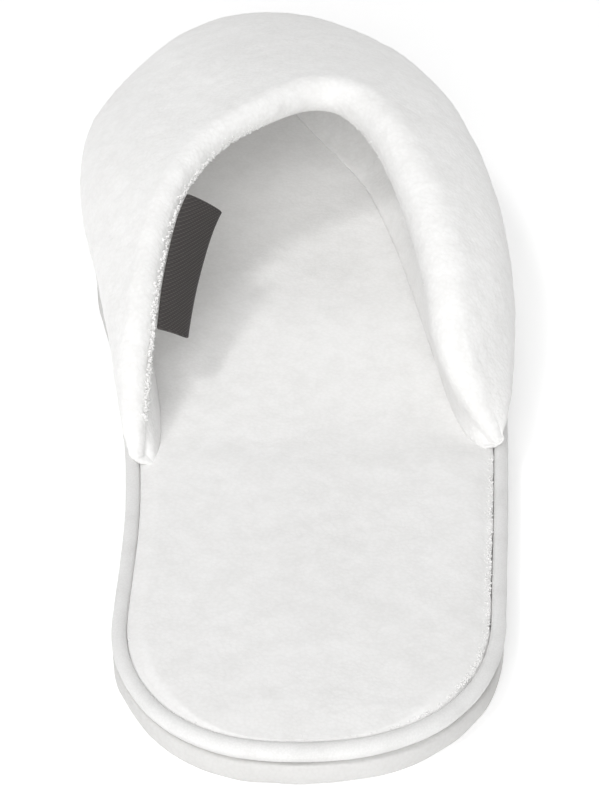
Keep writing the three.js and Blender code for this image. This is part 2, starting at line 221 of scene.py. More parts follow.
@dataclass(frozen=True)
class Last:
    """The slipper's driving sizes, its sole outline and the heights of its layers."""

    length: float = 285 * MM
    ball_width: float = 98 * MM
    instep_height: float = 57 * MM
    heel_round: float = 44 * MM
    toe_round: float = 66 * MM
    toe_spring: float = 3 * MM
    spring_length: float = 55 * MM
    outsole: float = 5.2 * MM
    rim_height: float = 4.6 * MM
    recess: float = 2.9 * MM
    insole_pad: float = 2.5 * MM
    insole_puff: float = 0.9 * MM
    seam_inset: float = 3.6 * MM
    wall: float = 8 * MM
    foot_width: float = 5.5 * MM
    clearance: float = 0.3 * MM
    middle: float = -0.02424
    heel_tip: float = -0.01
    toe_tip: float = -0.112
    heel_squareness: float = 2.3
    toe_squareness: float = 2.1
    lateral_end: float = 0.362
    medial_end: float = 0.34
    sole: Table = Table(
        ("along", "medial", "lateral"),
        (
            (0.0, 0.41, 0.44),
            (0.13, 0.418, 0.455),
            (0.28, 0.408, 0.485),
            (0.4, 0.43, 0.505),
            (0.52, 0.48, 0.52),
            (0.64, 0.54, 0.51),
            (0.76, 0.565, 0.465),
            (0.88, 0.53, 0.385),
            (1.0, 0.47, 0.29),
        ),
    )

    @property
    def rim_base(self) -> float:
        """Return the height of the rim's underside."""
        return self.outsole + self.clearance

    @property
    def rim_top(self) -> float:
        """Return the height of the rim's crest."""
        return self.rim_base + self.rim_height

    @property
    def insole_base(self) -> float:
        """Return the height of the insole's underside."""
        return self.rim_top - self.recess

    @property
    def insole_top(self) -> float:
        """Return the height of the insole's face at its edge."""
        return self.insole_base + self.insole_pad

    @property
    def seam_height(self) -> float:
        """Return the height at which the upper starts."""
        return self.insole_top + self.clearance

    @property
    def vamp_rise(self) -> float:
        """Return the rise from the seam to the middle of the roll over the instep."""
        return self.instep_height - self.wall / 2 - self.seam_height

    def outline_x(self, y: np.ndarray, side: Side) -> np.ndarray:
        """Return the outline's x on one side at distances y from the heel.

        The table's half width is drawn in to the tip at both ends by the superellipse
        (1 - share^n)^(1/n) of the distance into the rounded end.

        Args:
            y: Distances from the heel.
            side: Which side.

        Returns:
            Places across, before the shift to the frame's middle.
        """
        column = side.name.lower()
        x = side.value * self.sole.read(column, y / self.length) * self.ball_width
        tip = np.where(y < self.length / 2, self.heel_tip, self.toe_tip) * self.ball_width
        heel = np.clip(1 - y / self.heel_round, 0, 1)
        toe = np.clip(1 - (self.length - y) / self.toe_round, 0, 1)
        heel_cap = (1 - heel**self.heel_squareness) ** (1 / self.heel_squareness)
        toe_cap = (1 - toe**self.toe_squareness) ** (1 / self.toe_squareness)
        return tip + (x - tip) * heel_cap * toe_cap

    def side_run(self, side: Side, steps: int) -> np.ndarray:
        """Return one side of the outline from heel tip to toe tip in steps of equal length.

        Args:
            side: Which side.
            steps: Number of steps.

        Returns:
            Points in plan, shape (steps + 1, 2).
        """
        angle = np.linspace(0, np.pi, 4001)
        y = self.length * (1 - np.cos(angle)) / 2
        fine = np.stack([self.outline_x(y, side), y], axis=-1)
        run = np.concatenate([[0], np.cumsum(np.linalg.norm(np.diff(fine, axis=0), axis=1))])
        even = np.linspace(0, run[-1], steps + 1)
        return np.stack([np.interp(even, run, fine[:, k]) for k in (0, 1)], axis=-1)

    def outline(self, steps: int) -> tuple[np.ndarray, np.ndarray]:
        """Return the whole outline and its outward directions, counterclockwise from the heel.

        Args:
            steps: Steps on each side.

        Returns:
            Points and directions in plan, each of shape (2 * steps, 2).
        """
        lateral = self.side_run(Side.LATERAL, steps)
        medial = self.side_run(Side.MEDIAL, steps)[::-1]
        points = np.concatenate([lateral, medial[1:-1]])
        run = unit(np.roll(points, -1, 0) - np.roll(points, 1, 0))
        return points, np.stack([run[:, 1], -run[:, 0]], axis=-1)

    def place(self, points: np.ndarray) -> np.ndarray:
        """Move points from the heel's axes into the frame and add the toe spring.

        The spring raises a point by the square of its share of the sprung length.
        """
        share = np.maximum(0, 1 - (self.length - points[..., 1]) / self.spring_length)
        shift = np.array([-self.middle * self.ball_width, -self.length / 2, 0.0])
        moved = points + shift
        moved[..., 2] += self.toe_spring * share**2
        return moved


# Shader maths


class Wire:
    """A node socket with arithmetic: each expression adds its Math nodes."""

    def __init__(self, sheet: "NodeSheet", socket: bpy.types.NodeSocket) -> None:
        """Keep the sheet and the socket."""
        self.sheet = sheet
        self.socket = socket

    def math(self, operation: str, other: "Wire | float") -> "Wire":
        """Return a Math node's result on this value and another."""
        return self.sheet.node("ShaderNodeMath", {"operation": operation}, {0: self, 1: other})

    def __add__(self, other: "Wire | float") -> "Wire":
        """Return self + other."""
        return self.math("ADD", other)

    __radd__ = __add__

    def __mul__(self, other: "Wire | float") -> "Wire":
        """Return self * other."""
        return self.math("MULTIPLY", other)

    __rmul__ = __mul__

    def __sub__(self, other: "Wire | float") -> "Wire":
        """Return self - other."""
        return self.math("SUBTRACT", other)

    def __rsub__(self, other: float) -> "Wire":
        """Return other - self."""
        return (self * -1.0) + other

    def step(self, low: float, high: float) -> "Wire":
        """Return a smooth 0 to 1 as the value goes from low to high."""
        settings = {"interpolation_type": "SMOOTHSTEP"}
        values = {"Value": self, "From Min": low, "From Max": high}
        return self.sheet.node("ShaderNodeMapRange", settings, values)


class NodeSheet:
    """The node tree of one material."""

    def __init__(self, name: str) -> None:
        """Start an empty material with its output."""
        self.material = bpy.data.materials.new(name)
        self.material.use_nodes = True
        self.tree = self.material.node_tree
        self.tree.nodes.clear()
        self.place = self.node("ShaderNodeTexCoord", output="Object")

    def node(
        self,
        kind: str,
        settings: dict[str, object] | None = None,
        values: dict[int | str, object] | None = None,
        output: int | str = 0,
    ) -> Wire:
        """Make a node, set its properties, then its sockets.

        Args:
            kind: The node's type.
            settings: Properties set before any socket.
            values: Sockets by name or number, each a value or a Wire.
            output: The output to hand back.

        Returns:
            The wrapped output.
        """
        made = self.tree.nodes.new(kind)
        for key, value in (settings or {}).items():
            setattr(made, key, value)
        for key, value in (values or {}).items():
            socket = made.inputs[key]
            if isinstance(value, Wire):
                self.tree.links.new(value.socket, socket)
            else:
                socket.default_value = value
        return Wire(self, made.outputs[output]) if made.outputs else Wire(self, made.inputs[0])

    def axes(self) -> tuple[Wire, Wire, Wire]:
        """Return the object's three coordinates."""
        split = self.node("ShaderNodeSeparateXYZ", None, {"Vector": self.place})
        outputs = split.socket.node.outputs
        return split, Wire(self, outputs["Y"]), Wire(self, outputs["Z"])

    def noise(self, size: float, detail: float = 2.0) -> Wire:
        """Return noise with lumps of a size in metres."""
        values = {"Vector": self.place, "Scale": 1.0 / size, "Detail": detail}
        return self.node("ShaderNodeTexNoise", None, values)

    def cells(self, size: float) -> Wire:
        """Return the distance to the nearest of scattered points a size apart, in cells."""
        values = {"Vector": self.place, "Scale": 1.0 / size}
        return self.node("ShaderNodeTexVoronoi", None, values)

    def blend(self, factor: Wire, first: tuple[float, ...], second: tuple[float, ...]) -> Wire:
        """Return a colour between two by a factor."""
        settings = {"data_type": "RGBA"}
        values = {0: factor, 6: (*first, 1.0), 7: (*second, 1.0)}
        return self.node("ShaderNodeMix", settings, values, output=2)

    def bump(self, height: Wire, distance: float, strength: float) -> Wire:
        """Return a normal raised by a height of the given distance."""
        values = {"Height": height, "Distance": distance, "Strength": strength}
        return self.node("ShaderNodeBump", None, values)

    def surface(self, values: dict[str, object]) -> bpy.types.Material:
        """Close the tree with a principled shader.

        Args:
            values: The shader's sockets by name.

        Returns:
            The finished material.
        """
        shader = self.node("ShaderNodeBsdfPrincipled", None, values)
        self.node("ShaderNodeOutputMaterial", None, {"Surface": shader})
        return self.material


# Finishes


@dataclass(frozen=True)
class TerryFinish:
    """Brushed looped terry: soft clumps over small loops, with painted shade between them.

    Its faint even glow of its own is painted light that lifts the shade inside the shoe.
    """

    name: str
    light: tuple[float, float, float]
    shade: tuple[float, float, float]
    loop: float = 1.1 * MM
    clump: float = 4.5 * MM
    depth: float = 0.4 * MM
    strength: float = 0.5
    sheen: float = 0.25
    # painted light: strength of an even glow that lifts the shade inside the shoe
    painted_glow: float = 0.05

    def material(self) -> bpy.types.Material:
        """Build the material."""
        sheet = NodeSheet(self.name)
        loops = sheet.cells(self.loop)
        fibres = sheet.noise(self.loop * 0.45, 3.0)
        clumps = sheet.noise(self.clump, 3.0)
        worn = sheet.noise(self.clump * 7.0, 2.0)
        # painted shade in the pits between the loops, mixed below with random clumps and worn
        # patches
        between = loops.step(0.25, 0.75)
        tone_with_shade = (between * 0.35 + clumps.step(0.35, 0.65) * 0.35 + worn.step(0.4, 0.7) * 0.3)
        height = (1.0 - loops) * 0.55 + fibres * 0.3 + clumps * 0.9
        return sheet.surface(
            {
                "Base Color": sheet.blend(tone_with_shade, self.light, self.shade),
                "Roughness": 0.95,
                "Sheen Weight": self.sheen,
                "Sheen Roughness": 0.6,
                "Specular IOR Level": 0.15,
                # painted light: an even glow that lifts the shade inside the shoe
                "Emission Color": (1.0, 0.995, 0.985, 1.0),
                "Emission Strength": self.painted_glow,
                "Normal": sheet.bump(height, self.depth, self.strength),
            }
        )


@dataclass(frozen=True)
class KnitFinish:
    """Close smooth knit stretched over the rim: fine ribs and a few soft tension lines.

    Its lower flank is darkened with painted shade, most of all round the medial heel.
    """

    name: str = "rim_knit"
    light: tuple[float, float, float] = (0.82, 0.817, 0.81)
    shade: tuple[float, float, float] = (0.73, 0.726, 0.717)
    # strength of the painted shade on the lower flank
    flank_shade: float = 0.9
    stitch: float = 0.45 * MM

    def material(self) -> bpy.types.Material:
        """Build the material."""
        sheet = NodeSheet(self.name)
        stitches = sheet.cells(self.stitch)
        tension = sheet.noise(9 * MM, 2.0)
        fuzz = sheet.noise(0.9 * MM, 3.0)
        across, lengthwise, height = sheet.axes()
        low = 1.0 - height.step(6.6 * MM, 8.2 * MM)
        heel = (1.0 - lengthwise.step(-110 * MM, -60 * MM)) * (1.0 - across.step(-42 * MM, 12 * MM))
        # painted shade in the gaps between stitches, with random tension lines
        tone_with_shade = stitches.step(0.2, 0.8) * 0.4 + tension.step(0.45, 0.75) * 0.6
        # painted shade on the lower flank under the crest, strongest round the medial heel
        tone_with_shade = tone_with_shade + low * (heel * 1.6 + 0.15) * self.flank_shade
        relief = (1.0 - stitches) * 0.5 + fuzz * 0.35 + tension * 0.8
        return sheet.surface(
            {
                "Base Color": sheet.blend(tone_with_shade, self.light, self.shade),
                "Roughness": 0.8,
                "Sheen Weight": 0.15,
                "Sheen Roughness": 0.5,
                "Specular IOR Level": 0.25,
                "Normal": sheet.bump(relief, 0.18 * MM, 0.5),
            }
        )


@dataclass(frozen=True)
class FoamFinish:
    """Moulded foam rubber: a fine pebbled skin with painted shade in its hollows."""

    name: str = "foam_rubber"
    light: tuple[float, float, float] = (0.68, 0.675, 0.665)
    shade: tuple[float, float, float] = (0.60, 0.593, 0.58)
    pebble: float = 0.8 * MM

    def material(self) -> bpy.types.Material:
        """Build the material."""
        sheet = NodeSheet(self.name)
        pebbles = sheet.cells(self.pebble)
        stain = sheet.noise(22 * MM, 3.0)
        # painted shade in the pebbles' hollows, mixed with random stains
        tone_with_shade = pebbles.step(0.3, 0.9) * 0.3 + stain.step(0.4, 0.75) * 0.7
        rough = stain * 0.25 + 0.5
        return sheet.surface(
            {
                "Base Color": sheet.blend(tone_with_shade, self.light, self.shade),
                "Roughness": rough,
                "Specular IOR Level": 0.35,
                "Normal": sheet.bump(1.0 - pebbles, 0.12 * MM, 0.45),
            }
        )


@dataclass(frozen=True)
class TapeFinish:
    """Dark woven tape: crossing threads from two waves, with a painted highlight on their raised
    crossings.
    """

    name: str = "label_tape"
    light: tuple[float, float, float] = (0.085, 0.077, 0.074)
    shade: tuple[float, float, float] = (0.045, 0.041, 0.04)
    thread: float = 0.5 * MM

    def material(self) -> bpy.types.Material:
        """Build the material."""
        sheet = NodeSheet(self.name)
        waves = [
            sheet.node(
                "ShaderNodeTexWave",
                {"bands_direction": axis},
                {"Vector": sheet.place, "Scale": 0.314 / self.thread, "Distortion": 0.6},
                output=1,
            )
            for axis in ("Y", "Z")
        ]
        weave = waves[0] * waves[1]
        fuzz = sheet.noise(0.6 * MM, 3.0)
        # painted highlight on the raised crossings of the weave, painted shade between them
        tone_with_shade = weave.step(0.1, 0.7)
        return sheet.surface(
            {
                "Base Color": sheet.blend(tone_with_shade, self.shade, self.light),
                "Roughness": 0.75,
                "Sheen Weight": 0.1,
                "Specular IOR Level": 0.3,
                "Normal": sheet.bump(weave + fuzz * 0.5, 0.12 * MM, 0.5),
            }
        )


UPPER_TERRY = TerryFinish("upper_terry", (0.90, 0.897, 0.89), (0.82, 0.815, 0.805))
INSOLE_TERRY = TerryFinish(
    "insole_terry", (0.87, 0.866, 0.86), (0.79, 0.785, 0.775), 0.9 * MM, 6 * MM, 0.24 * MM, 0.4
)


# The sole's layers


@dataclass(frozen=True)
class Layer:
    """A closed slab that follows the sole outline: rings around its side and a lid at each end."""

    last: Last
    steps: int = 330

    def build(
        self,
        name: str,
        inset: np.ndarray,
        height: np.ndarray,
        columns: tuple[int, int],
        lids: tuple[Callable[[np.ndarray], np.ndarray], Callable[[np.ndarray], np.ndarray]],
    ) -> bpy.types.Object:
        """Build the slab.

        A ring is the outline moved inwards by the inset and lifted to the height; a lid is rungs
        from side to side, whose heights are a function of the place.

        Args:
            name: The piece's name.
            inset: Inset of each ring at each outline point, shape (rings, 2 * steps).
            height: Height likewise, from the bottom ring to the top ring.
            columns: Parts of each rung of the bottom and the top lid.
            lids: For each lid, the function from points (x, y, share across) to heights.

        Returns:
            The piece.
        """
        plan, outward = self.last.outline(self.steps)
        rings = np.concatenate(
            [plan - outward * inset[..., None], np.broadcast_to(height, inset.shape)[..., None]],
            axis=-1,
        )
        index = np.arange(rings.shape[0] * rings.shape[1]).reshape(rings.shape[:2])
        points = [rings.reshape(-1, 3)]
        faces: list[np.ndarray] = [grid_quads(index, True)[:, ::-1]]
        count = index.size
        for end, parts, lid in zip((0, -1), columns, lids):
            inner = self.rungs(rings[end], parts, lid)
            numbers = np.arange(inner.shape[0] * inner.shape[1]).reshape(inner.shape[:2]) + count
            count += numbers.size
            points.append(inner.reshape(-1, 3))
            faces += self.lid_faces(index[end], numbers, upward=end == -1)
        joined: dict[int, list[np.ndarray]] = {}
        for block in faces:
            joined.setdefault(block.shape[1], []).append(block)
        blocks = [np.concatenate(group) for group in joined.values()]
        return make_mesh(name, self.last.place(np.concatenate(points)), blocks)

    def rungs(
        self, ring: np.ndarray, parts: int, lid: Callable[[np.ndarray], np.ndarray]
    ) -> np.ndarray:
        """Return the inner points of a lid's rungs, straight between the ring's two sides."""
        lateral = ring[1 : self.steps]
        medial = ring[: self.steps : -1]
        share = (np.arange(1, parts) / parts)[None, :, None]
        flat = (lateral[:, None] * (1 - share) + medial[:, None] * share)[..., :2]
        place = np.concatenate([flat, np.broadcast_to(share, (*flat.shape[:2], 1))], axis=-1)
        return np.concatenate([flat, lid(place)[..., None]], axis=-1)

    def lid_faces(self, ring: np.ndarray, inner: np.ndarray, upward: bool) -> list[np.ndarray]:
        """Return the quads of a lid and the triangles at its two tips."""
        lateral = ring[1 : self.steps, None]
        medial = ring[: self.steps : -1, None]
        rungs = np.concatenate([lateral, inner, medial], axis=1)
        quads = grid_quads(rungs, False)
        heel = np.full(rungs.shape[1] - 1, ring[0])
        toe = np.full(rungs.shape[1] - 1, ring[self.steps])
        heel_fan = np.stack([heel, rungs[0, :-1], rungs[0, 1:]], axis=-1)
        toe_fan = np.stack([toe, rungs[-1, 1:], rungs[-1, :-1]], axis=-1)
        fans = np.concatenate([heel_fan, toe_fan])
        return [quads, fans] if upward else [quads[:, ::-1], fans[:, ::-1]]


@dataclass(frozen=True)
class Outsole:
    """The foam rubber sheet: a rounded foot, a slightly wavy cut side and a shallow wave tread."""

    last: Last
    wave: float = 0.34 * MM
    wave_length: float = 19 * MM
    tread_depth: float = 0.55 * MM
    tread_pitch: float = 5.5 * MM
    tread_swing: float = 2.2 * MM
    tread_swing_length: float = 19 * MM
    tread_border: float = 0.09

    def tread(self, place: np.ndarray) -> np.ndarray:
        """Return the height of the underside.

        Grooves are the upper part of a cosine along the sole whose phase swings with a sine
        across it; they fade out towards the border, the waist and both ends.
        """
        x, y, share = place[..., 0], place[..., 1], place[..., 2]
        swing = self.tread_swing * np.sin(2 * np.pi * x / self.tread_swing_length)
        wave = np.cos(2 * np.pi * (y + swing) / self.tread_pitch)
        groove = soft_step((wave - 0.2) / 0.5)
        side = soft_step((0.5 - np.abs(share - 0.5)) / self.tread_border - 0.5)
        ends = np.minimum(y, self.last.length - y) / (8 * MM)
        waist = soft_step(np.abs(y / self.last.length - 0.41) / 0.06 - 1.0)
        return self.tread_depth * groove * side * soft_step(ends - 0.6) * waist

    def build(self) -> bpy.types.Object:
        """Build the outsole from eight rounded levels, with the cut side's waves in its inset."""
        last = self.last
        top = last.outsole
        levels = np.array([0, 0.06, 0.16, 0.34, 0.62, 0.86, 0.95, 1.0]) * top
        inset = np.array([0.9, 0.42, 0.1, 0.0, 0.12, 0.3, 0.45, 0.85]) * MM
        layer = Layer(last)
        plan, _ = last.outline(layer.steps)
        flat = np.concatenate([plan, np.zeros((len(plan), 1))], axis=-1)
        ripple = value_noise(flat, self.wave_length, 4) + 0.5 * value_noise(flat, 6 * MM, 5)
        fade = 1 - levels / top
        insets = inset[:, None] + self.wave * (1 + ripple[None]) * (0.3 + fade[:, None])
        lids = (self.tread, lambda place: np.full(place.shape[:2], top))
        return layer.build("outsole_sheet", insets, levels[:, None], (56, 2), lids)


@dataclass(frozen=True)
class WrappedRim:
    """The footbed board with its edge wrapped in knit: a padded rim with soft gathers."""

    last: Last
    gather: float = 0.16 * MM
    gather_length: float = 5 * MM

    def build(self) -> bpy.types.Object:
        """Build the rim from a rounded profile whose inset ripples with the gathers.

        The gathers are noise along the outline, strongest where the fabric turns round the heel
        and the toe.
        """
        last = self.last
        share = np.array([0.0, 0.02, 0.1, 0.24, 0.42, 0.6, 0.76, 0.88, 0.96, 1.0, 0.99, 0.93, 0.8])
        inset = np.array([2.0, 1.5, 1.05, 0.66, 0.3, 0.05, 0.14, 0.5, 1.05, 1.75, 2.45, 3.05, 3.35])
        levels = last.rim_base + share * last.rim_height
        levels = np.append(levels, last.insole_base - last.clearance)
        insets = np.append(inset, 3.35)[:, None] * MM
        layer = Layer(last)
        plan, _ = last.outline(layer.steps)
        flat = np.concatenate([plan, np.zeros((len(plan), 1))], axis=-1)
        ends = np.abs(plan[:, 1] / last.length - 0.5) * 2
        tight = 0.25 + 0.75 * soft_step((ends - 0.55) / 0.4)
        ripple = value_noise(flat, self.gather_length, 11) + 0.6 * value_noise(flat, 2.3 * MM, 12)
        crest = np.append(np.sin(np.pi * share[:-1]), [0.2, 0.0])[:, None]
        insets = insets + self.gather * (ripple * tight)[None] * crest
        lids = (
            lambda place: np.full(place.shape[:2], last.rim_base),
            lambda place: np.full(place.shape[:2], last.insole_base - last.clearance),
        )
        return layer.build("wrapped_rim", insets, levels[:, None], (2, 2), lids)


@dataclass(frozen=True)
class Footbed:
    """The padded terry insole: crowned edge, soft step under the throat, small lumps of pile."""

    last: Last
    shoulder: float = 0.055
    step_depth: float = 1.05 * MM
    lump: float = 0.3 * MM
    pile: float = 0.08 * MM
    ragged: float = 0.34 * MM

    def face(self, place: np.ndarray) -> np.ndarray:
        """Return the height of the top face.

        The face rises from its edge over a rounded shoulder, steps down across the foot where
        the vamp begins, and carries lumps of two sizes that fade at the edge.
        """
        last = self.last
        x, y, share = place[..., 0], place[..., 1], place[..., 2]
        edge = np.minimum(0.5 - np.abs(share - 0.5), y / last.length)
        inside = soft_step(edge / self.shoulder)
        step = 0.5 * (last.lateral_end + last.medial_end) * last.length
        bow = 6 * MM * (2 * share - 1) ** 2
        ahead = soft_step((y - step - bow + 7 * MM) / (15 * MM))
        far = soft_step((y - step) / last.heel_round)
        flat = np.stack([x, y, np.zeros_like(x)], axis=-1)
        lumps = value_noise(flat, 19 * MM, 21) + 0.6 * value_noise(flat, 8 * MM, 22)
        pile = value_noise(flat, 2.6 * MM, 23) + 0.8 * value_noise(flat, 1.5 * MM, 24)
        rise = last.insole_puff * (1 - far) - self.step_depth * ahead * (1 - far)
        under_wall = soft_step((edge - 0.09) / 0.05)
        covered = ahead * (1 - under_wall)
        rough = (self.lump * lumps * 0.6 + self.pile * pile) * (1 - covered)
        return last.insole_top + inside * (rise * (1 - covered) + rough)

    def build(self) -> bpy.types.Object:
        """Build the insole."""
        last = self.last
        base, top = last.insole_base, last.insole_top
        seam = last.seam_inset
        inset = np.array([0.5, 0.0, -0.15, -0.15, -0.1, 0.08])[:, None] * MM + seam
        share = np.array([0, 0.15, 0.4, 0.7, 0.9, 1.0])[:, None]
        levels = base + share * (top - base)
        plan, _ = last.outline(Layer(last).steps)
        flat = np.concatenate([plan, np.zeros((len(plan), 1))], axis=-1)
        lateral = soft_step(plan[:, 0] / last.ball_width * 2.2)
        tears = 0.6 + value_noise(flat, 3.4 * MM, 25) + 0.5 * value_noise(flat, 1.6 * MM, 26)
        insets = inset + self.ragged * (lateral * np.clip(tears, 0, 2))[None] * share
        lids = (lambda place: np.full(place.shape[:2], base), self.face)
        return Layer(last).build("terry_footbed", insets, levels, (2, 104), lids)


# The upper


THROAT = Table(
    ("at", "across", "along", "up"),
    (
        (-1.0, 0.47, 0.366, 0.045),
        (-0.9, 0.419, 0.381, 0.225),
        (-0.78, 0.376, 0.412, 0.41),
        (-0.6, 0.366, 0.472, 0.6),
        (-0.42, 0.326, 0.548, 0.76),
        (-0.24, 0.24, 0.632, 0.91),
        (-0.1, 0.134, 0.68, 0.975),
        (0.05, 0.015, 0.686, 0.99),
        (0.2, -0.115, 0.654, 0.985),
        (0.34, -0.24, 0.615, 0.925),
        (0.48, -0.328, 0.56, 0.825),
        (0.64, -0.373, 0.49, 0.65),
        (0.8, -0.392, 0.42, 0.43),
        (0.92, -0.393, 0.37, 0.215),
        (1.0, -0.388, 0.346, 0.045),
    ),
)

SECTIONS = Table(
    ("at", "out", "rise", "reach", "lean", "thick", "foot", "line"),
    (
        (-1.0, 0.07, 0.05, 0.1, 45.0, 0.4, 0.5, 1.0),
        (-0.85, 0.27, 0.24, 0.3, 52.0, 1.1, 1.9, 1.0),
        (-0.6, 0.17, 0.38, 0.38, 58.0, 1.6, 3.6, 0.9),
        (-0.3, 0.0, 0.3, 0.46, 66.0, 1.6, 4.2, 0.1),
        (0.0, 0.22, 0.57, 0.52, 78.0, 1.15, 2.0, 0.0),
        (0.3, 0.33, 0.57, 0.45, 68.0, 1.0, 1.2, 0.0),
        (0.6, 0.26, 0.4, 0.35, 45.0, 0.95, 1.0, 0.1),
        (0.85, 0.18, 0.22, 0.22, 24.0, 0.88, 1.0, 0.8),
        (1.0, 0.07, 0.05, 0.1, 20.0, 0.45, 0.6, 1.0),
    ),
)

DENTS = (
    (-0.42, 0.45, 0.16, 0.22, 0.26),
    (-0.2, 0.32, 0.1, 0.2, 0.1),
    (0.08, 0.62, 0.12, 0.2, 0.1),
    (0.3, 0.5, 0.1, 0.2, 0.12),
    (0.55, 0.6, 0.1, 0.25, 0.1),
)


@dataclass(frozen=True)
class Roll:
    """The rolled throat edge at a run of stations."""

    middle: np.ndarray
    run: np.ndarray
    normal: np.ndarray
    inward: np.ndarray
    radius: np.ndarray


@dataclass(frozen=True)
class Upper:
    """The padded terry upper: one wall from the seam over the vamp, round the throat and back."""

    last: Last
    stations: int = 430
    outer_steps: int = 92
    roll_steps: int = 34
    inner_steps: int = 50
    fan: float = 1.6
    puff: float = 0.55 * MM
    pile: float = 0.13 * MM
    gather: float = 0.35 * MM
    end_round: float = 1.6 * MM
    end_rings: int = 6
    skirt: float = 0.45 * MM
    softening: int = 140

    def throat_point(self, at: np.ndarray) -> np.ndarray:
        """Return the middle of the roll at stations from -1 (lateral) to 1 (medial)."""
        last = self.last
        held = np.clip(at, -1, 1)
        across = THROAT.read("across", held) * last.ball_width
        along = THROAT.read("along", held) * last.length
        up = last.seam_height + THROAT.read("up", held) * last.vamp_rise
        return np.stack([across, along, up], axis=-1)

    def outline_point(self, at: np.ndarray) -> np.ndarray:
        """Return the sole outline's point below each station.

        The distance from the heel goes from an end of the upper to the toe as a power of the
        cosine of the station's quarter turn.
        """
        last = self.last
        held = np.clip(at, -1, 1)
        start = np.where(held < 0, last.lateral_end, last.medial_end) * last.length
        y = start + (last.length - start) * np.abs(np.cos(np.pi / 2 * held)) ** self.fan
        y = np.minimum(y, last.length * (1 - 1e-9))
        lateral, medial = last.outline_x(y, Side.LATERAL), last.outline_x(y, Side.MEDIAL)
        x = np.where(held < 0, lateral, medial)
        return np.stack([x, y, np.full_like(x, last.seam_height)], axis=-1)

    @staticmethod
    def run_of(path: Callable[[np.ndarray], np.ndarray], at: np.ndarray) -> np.ndarray:
        """Return the unit direction in which a path over the stations runs."""
        return unit(path(at + 0.001) - path(at - 0.001))

    @staticmethod
    def aside(run: np.ndarray) -> np.ndarray:
        """Return the level direction to the right of each run."""
        return np.stack([run[:, 1], -run[:, 0], np.zeros(len(run))], axis=-1)

    def roll(self, at: np.ndarray) -> Roll:
        """Return the roll's frame.

        Its normal leans by the table's angle, square to its run; towards the two ends the level
        part of the normal turns to that of the sole outline below.
        """
        run = self.run_of(self.throat_point, at)
        lean = np.radians(SECTIONS.read("lean", at))
        below = self.run_of(self.outline_point, at)
        ends = soft_step((np.abs(at) - 0.65) / 0.25)[:, None]
        flat = unit(self.aside(run)) * (1 - ends) + self.aside(below) * ends
        normal = unit(flat) * np.cos(lean)[:, None]
        normal[:, 2] = np.sin(lean)
        normal = unit(normal - (normal * run).sum(-1, keepdims=True) * run)
        radius = SECTIONS.read("thick", at) * self.last.wall / 2
        return Roll(self.throat_point(at), run, normal, np.cross(normal, run), radius)

    def outer(self, at: np.ndarray, share: np.ndarray) -> tuple[np.ndarray, np.ndarray, np.ndarray]:
        """Return the outer face as cubic curves from the seam to the roll.

        Args:
            at: Stations.
            share: Places along each curve, 0 at the seam and 1 at the roll.

        Returns:
            Points of shape (stations, shares, 3), the seam points and the outward directions.
        """
        last = self.last
        run = self.run_of(self.outline_point, at)
        outward = self.aside(run)
        seam = self.outline_point(at) - outward * last.seam_inset
        roll = self.roll(at)
        end = roll.middle + roll.normal * roll.radius[:, None]
        bulge = seam + outward * (SECTIONS.read("out", at) * last.vamp_rise)[:, None]
        bulge[:, 2] += SECTIONS.read("rise", at) * last.vamp_rise
        reach = SECTIONS.read("reach", at) * np.linalg.norm(end - seam, axis=-1)
        shoulder = end - roll.inward * reach[:, None]
        t = share[None, :, None]
        weights = ((1 - t) ** 3, 3 * (1 - t) ** 2 * t, 3 * (1 - t) * t**2, t**3)
        corners = (seam, bulge, shoulder, end)
        points = sum(weight * corner[:, None] for weight, corner in zip(weights, corners))
        return points, seam, outward

    def wall(self, at: np.ndarray) -> np.ndarray:
        """Return the closed sections: up the outer face, over the roll and down the inner face.

        The inner face lies one wall inside the outer one, and is drawn in to the foot of the
        wall at the seam and to a straight line at the two ends.
        """
        last = self.last
        roll = self.roll(at)
        share = np.linspace(0, 1, self.outer_steps)
        outer, seam, outward = self.outer(at, share)
        outer = outer - self.faces(at, share) * self.dents(at, share)[..., None]
        inner_share = np.linspace(0, 1, self.inner_steps)
        back, _, _ = self.outer(at, inner_share)
        thick = (2 * roll.radius)[:, None, None]
        offset = back - self.faces(at, inner_share) * thick
        inner_end = roll.middle - roll.normal * roll.radius[:, None]
        offset[:, -1] = inner_end
        reach = SECTIONS.read("foot", at)[:, None] * last.foot_width
        foot = (seam - outward * reach)[:, None]
        blend = soft_step(inner_share / 0.35)[None, :, None]
        lining = foot * (1 - blend) + offset * blend
        straight = foot + (inner_end[:, None] - foot) * inner_share[None, :, None]
        line = np.clip(SECTIONS.read("line", at), 0, 1)[:, None, None]
        lining = lining * (1 - line) + straight * line
        lining[..., 2] = np.maximum(lining[..., 2], last.seam_height)
        lining[:, 0, 2] -= self.skirt
        angle = np.linspace(0, np.pi, self.roll_steps + 2)[1:-1][None, :, None]
        turn = np.cos(angle) * roll.normal[:, None] + np.sin(angle) * roll.inward[:, None]
        edge = roll.middle[:, None] + roll.radius[:, None, None] * turn
        return np.concatenate([outer, edge, lining[:, ::-1]], axis=1)

    def faces(self, at: np.ndarray, share: np.ndarray) -> np.ndarray:
        """Return the outer face's unit normals from its slopes both ways."""
        along = self.outer(at + 0.002, share)[0] - self.outer(at - 0.002, share)[0]
        up = self.outer(at, np.clip(share + 0.001, 0, 1))[0]
        up = up - self.outer(at, np.clip(share - 0.001, 0, 1))[0]
        return unit(np.cross(along, up))

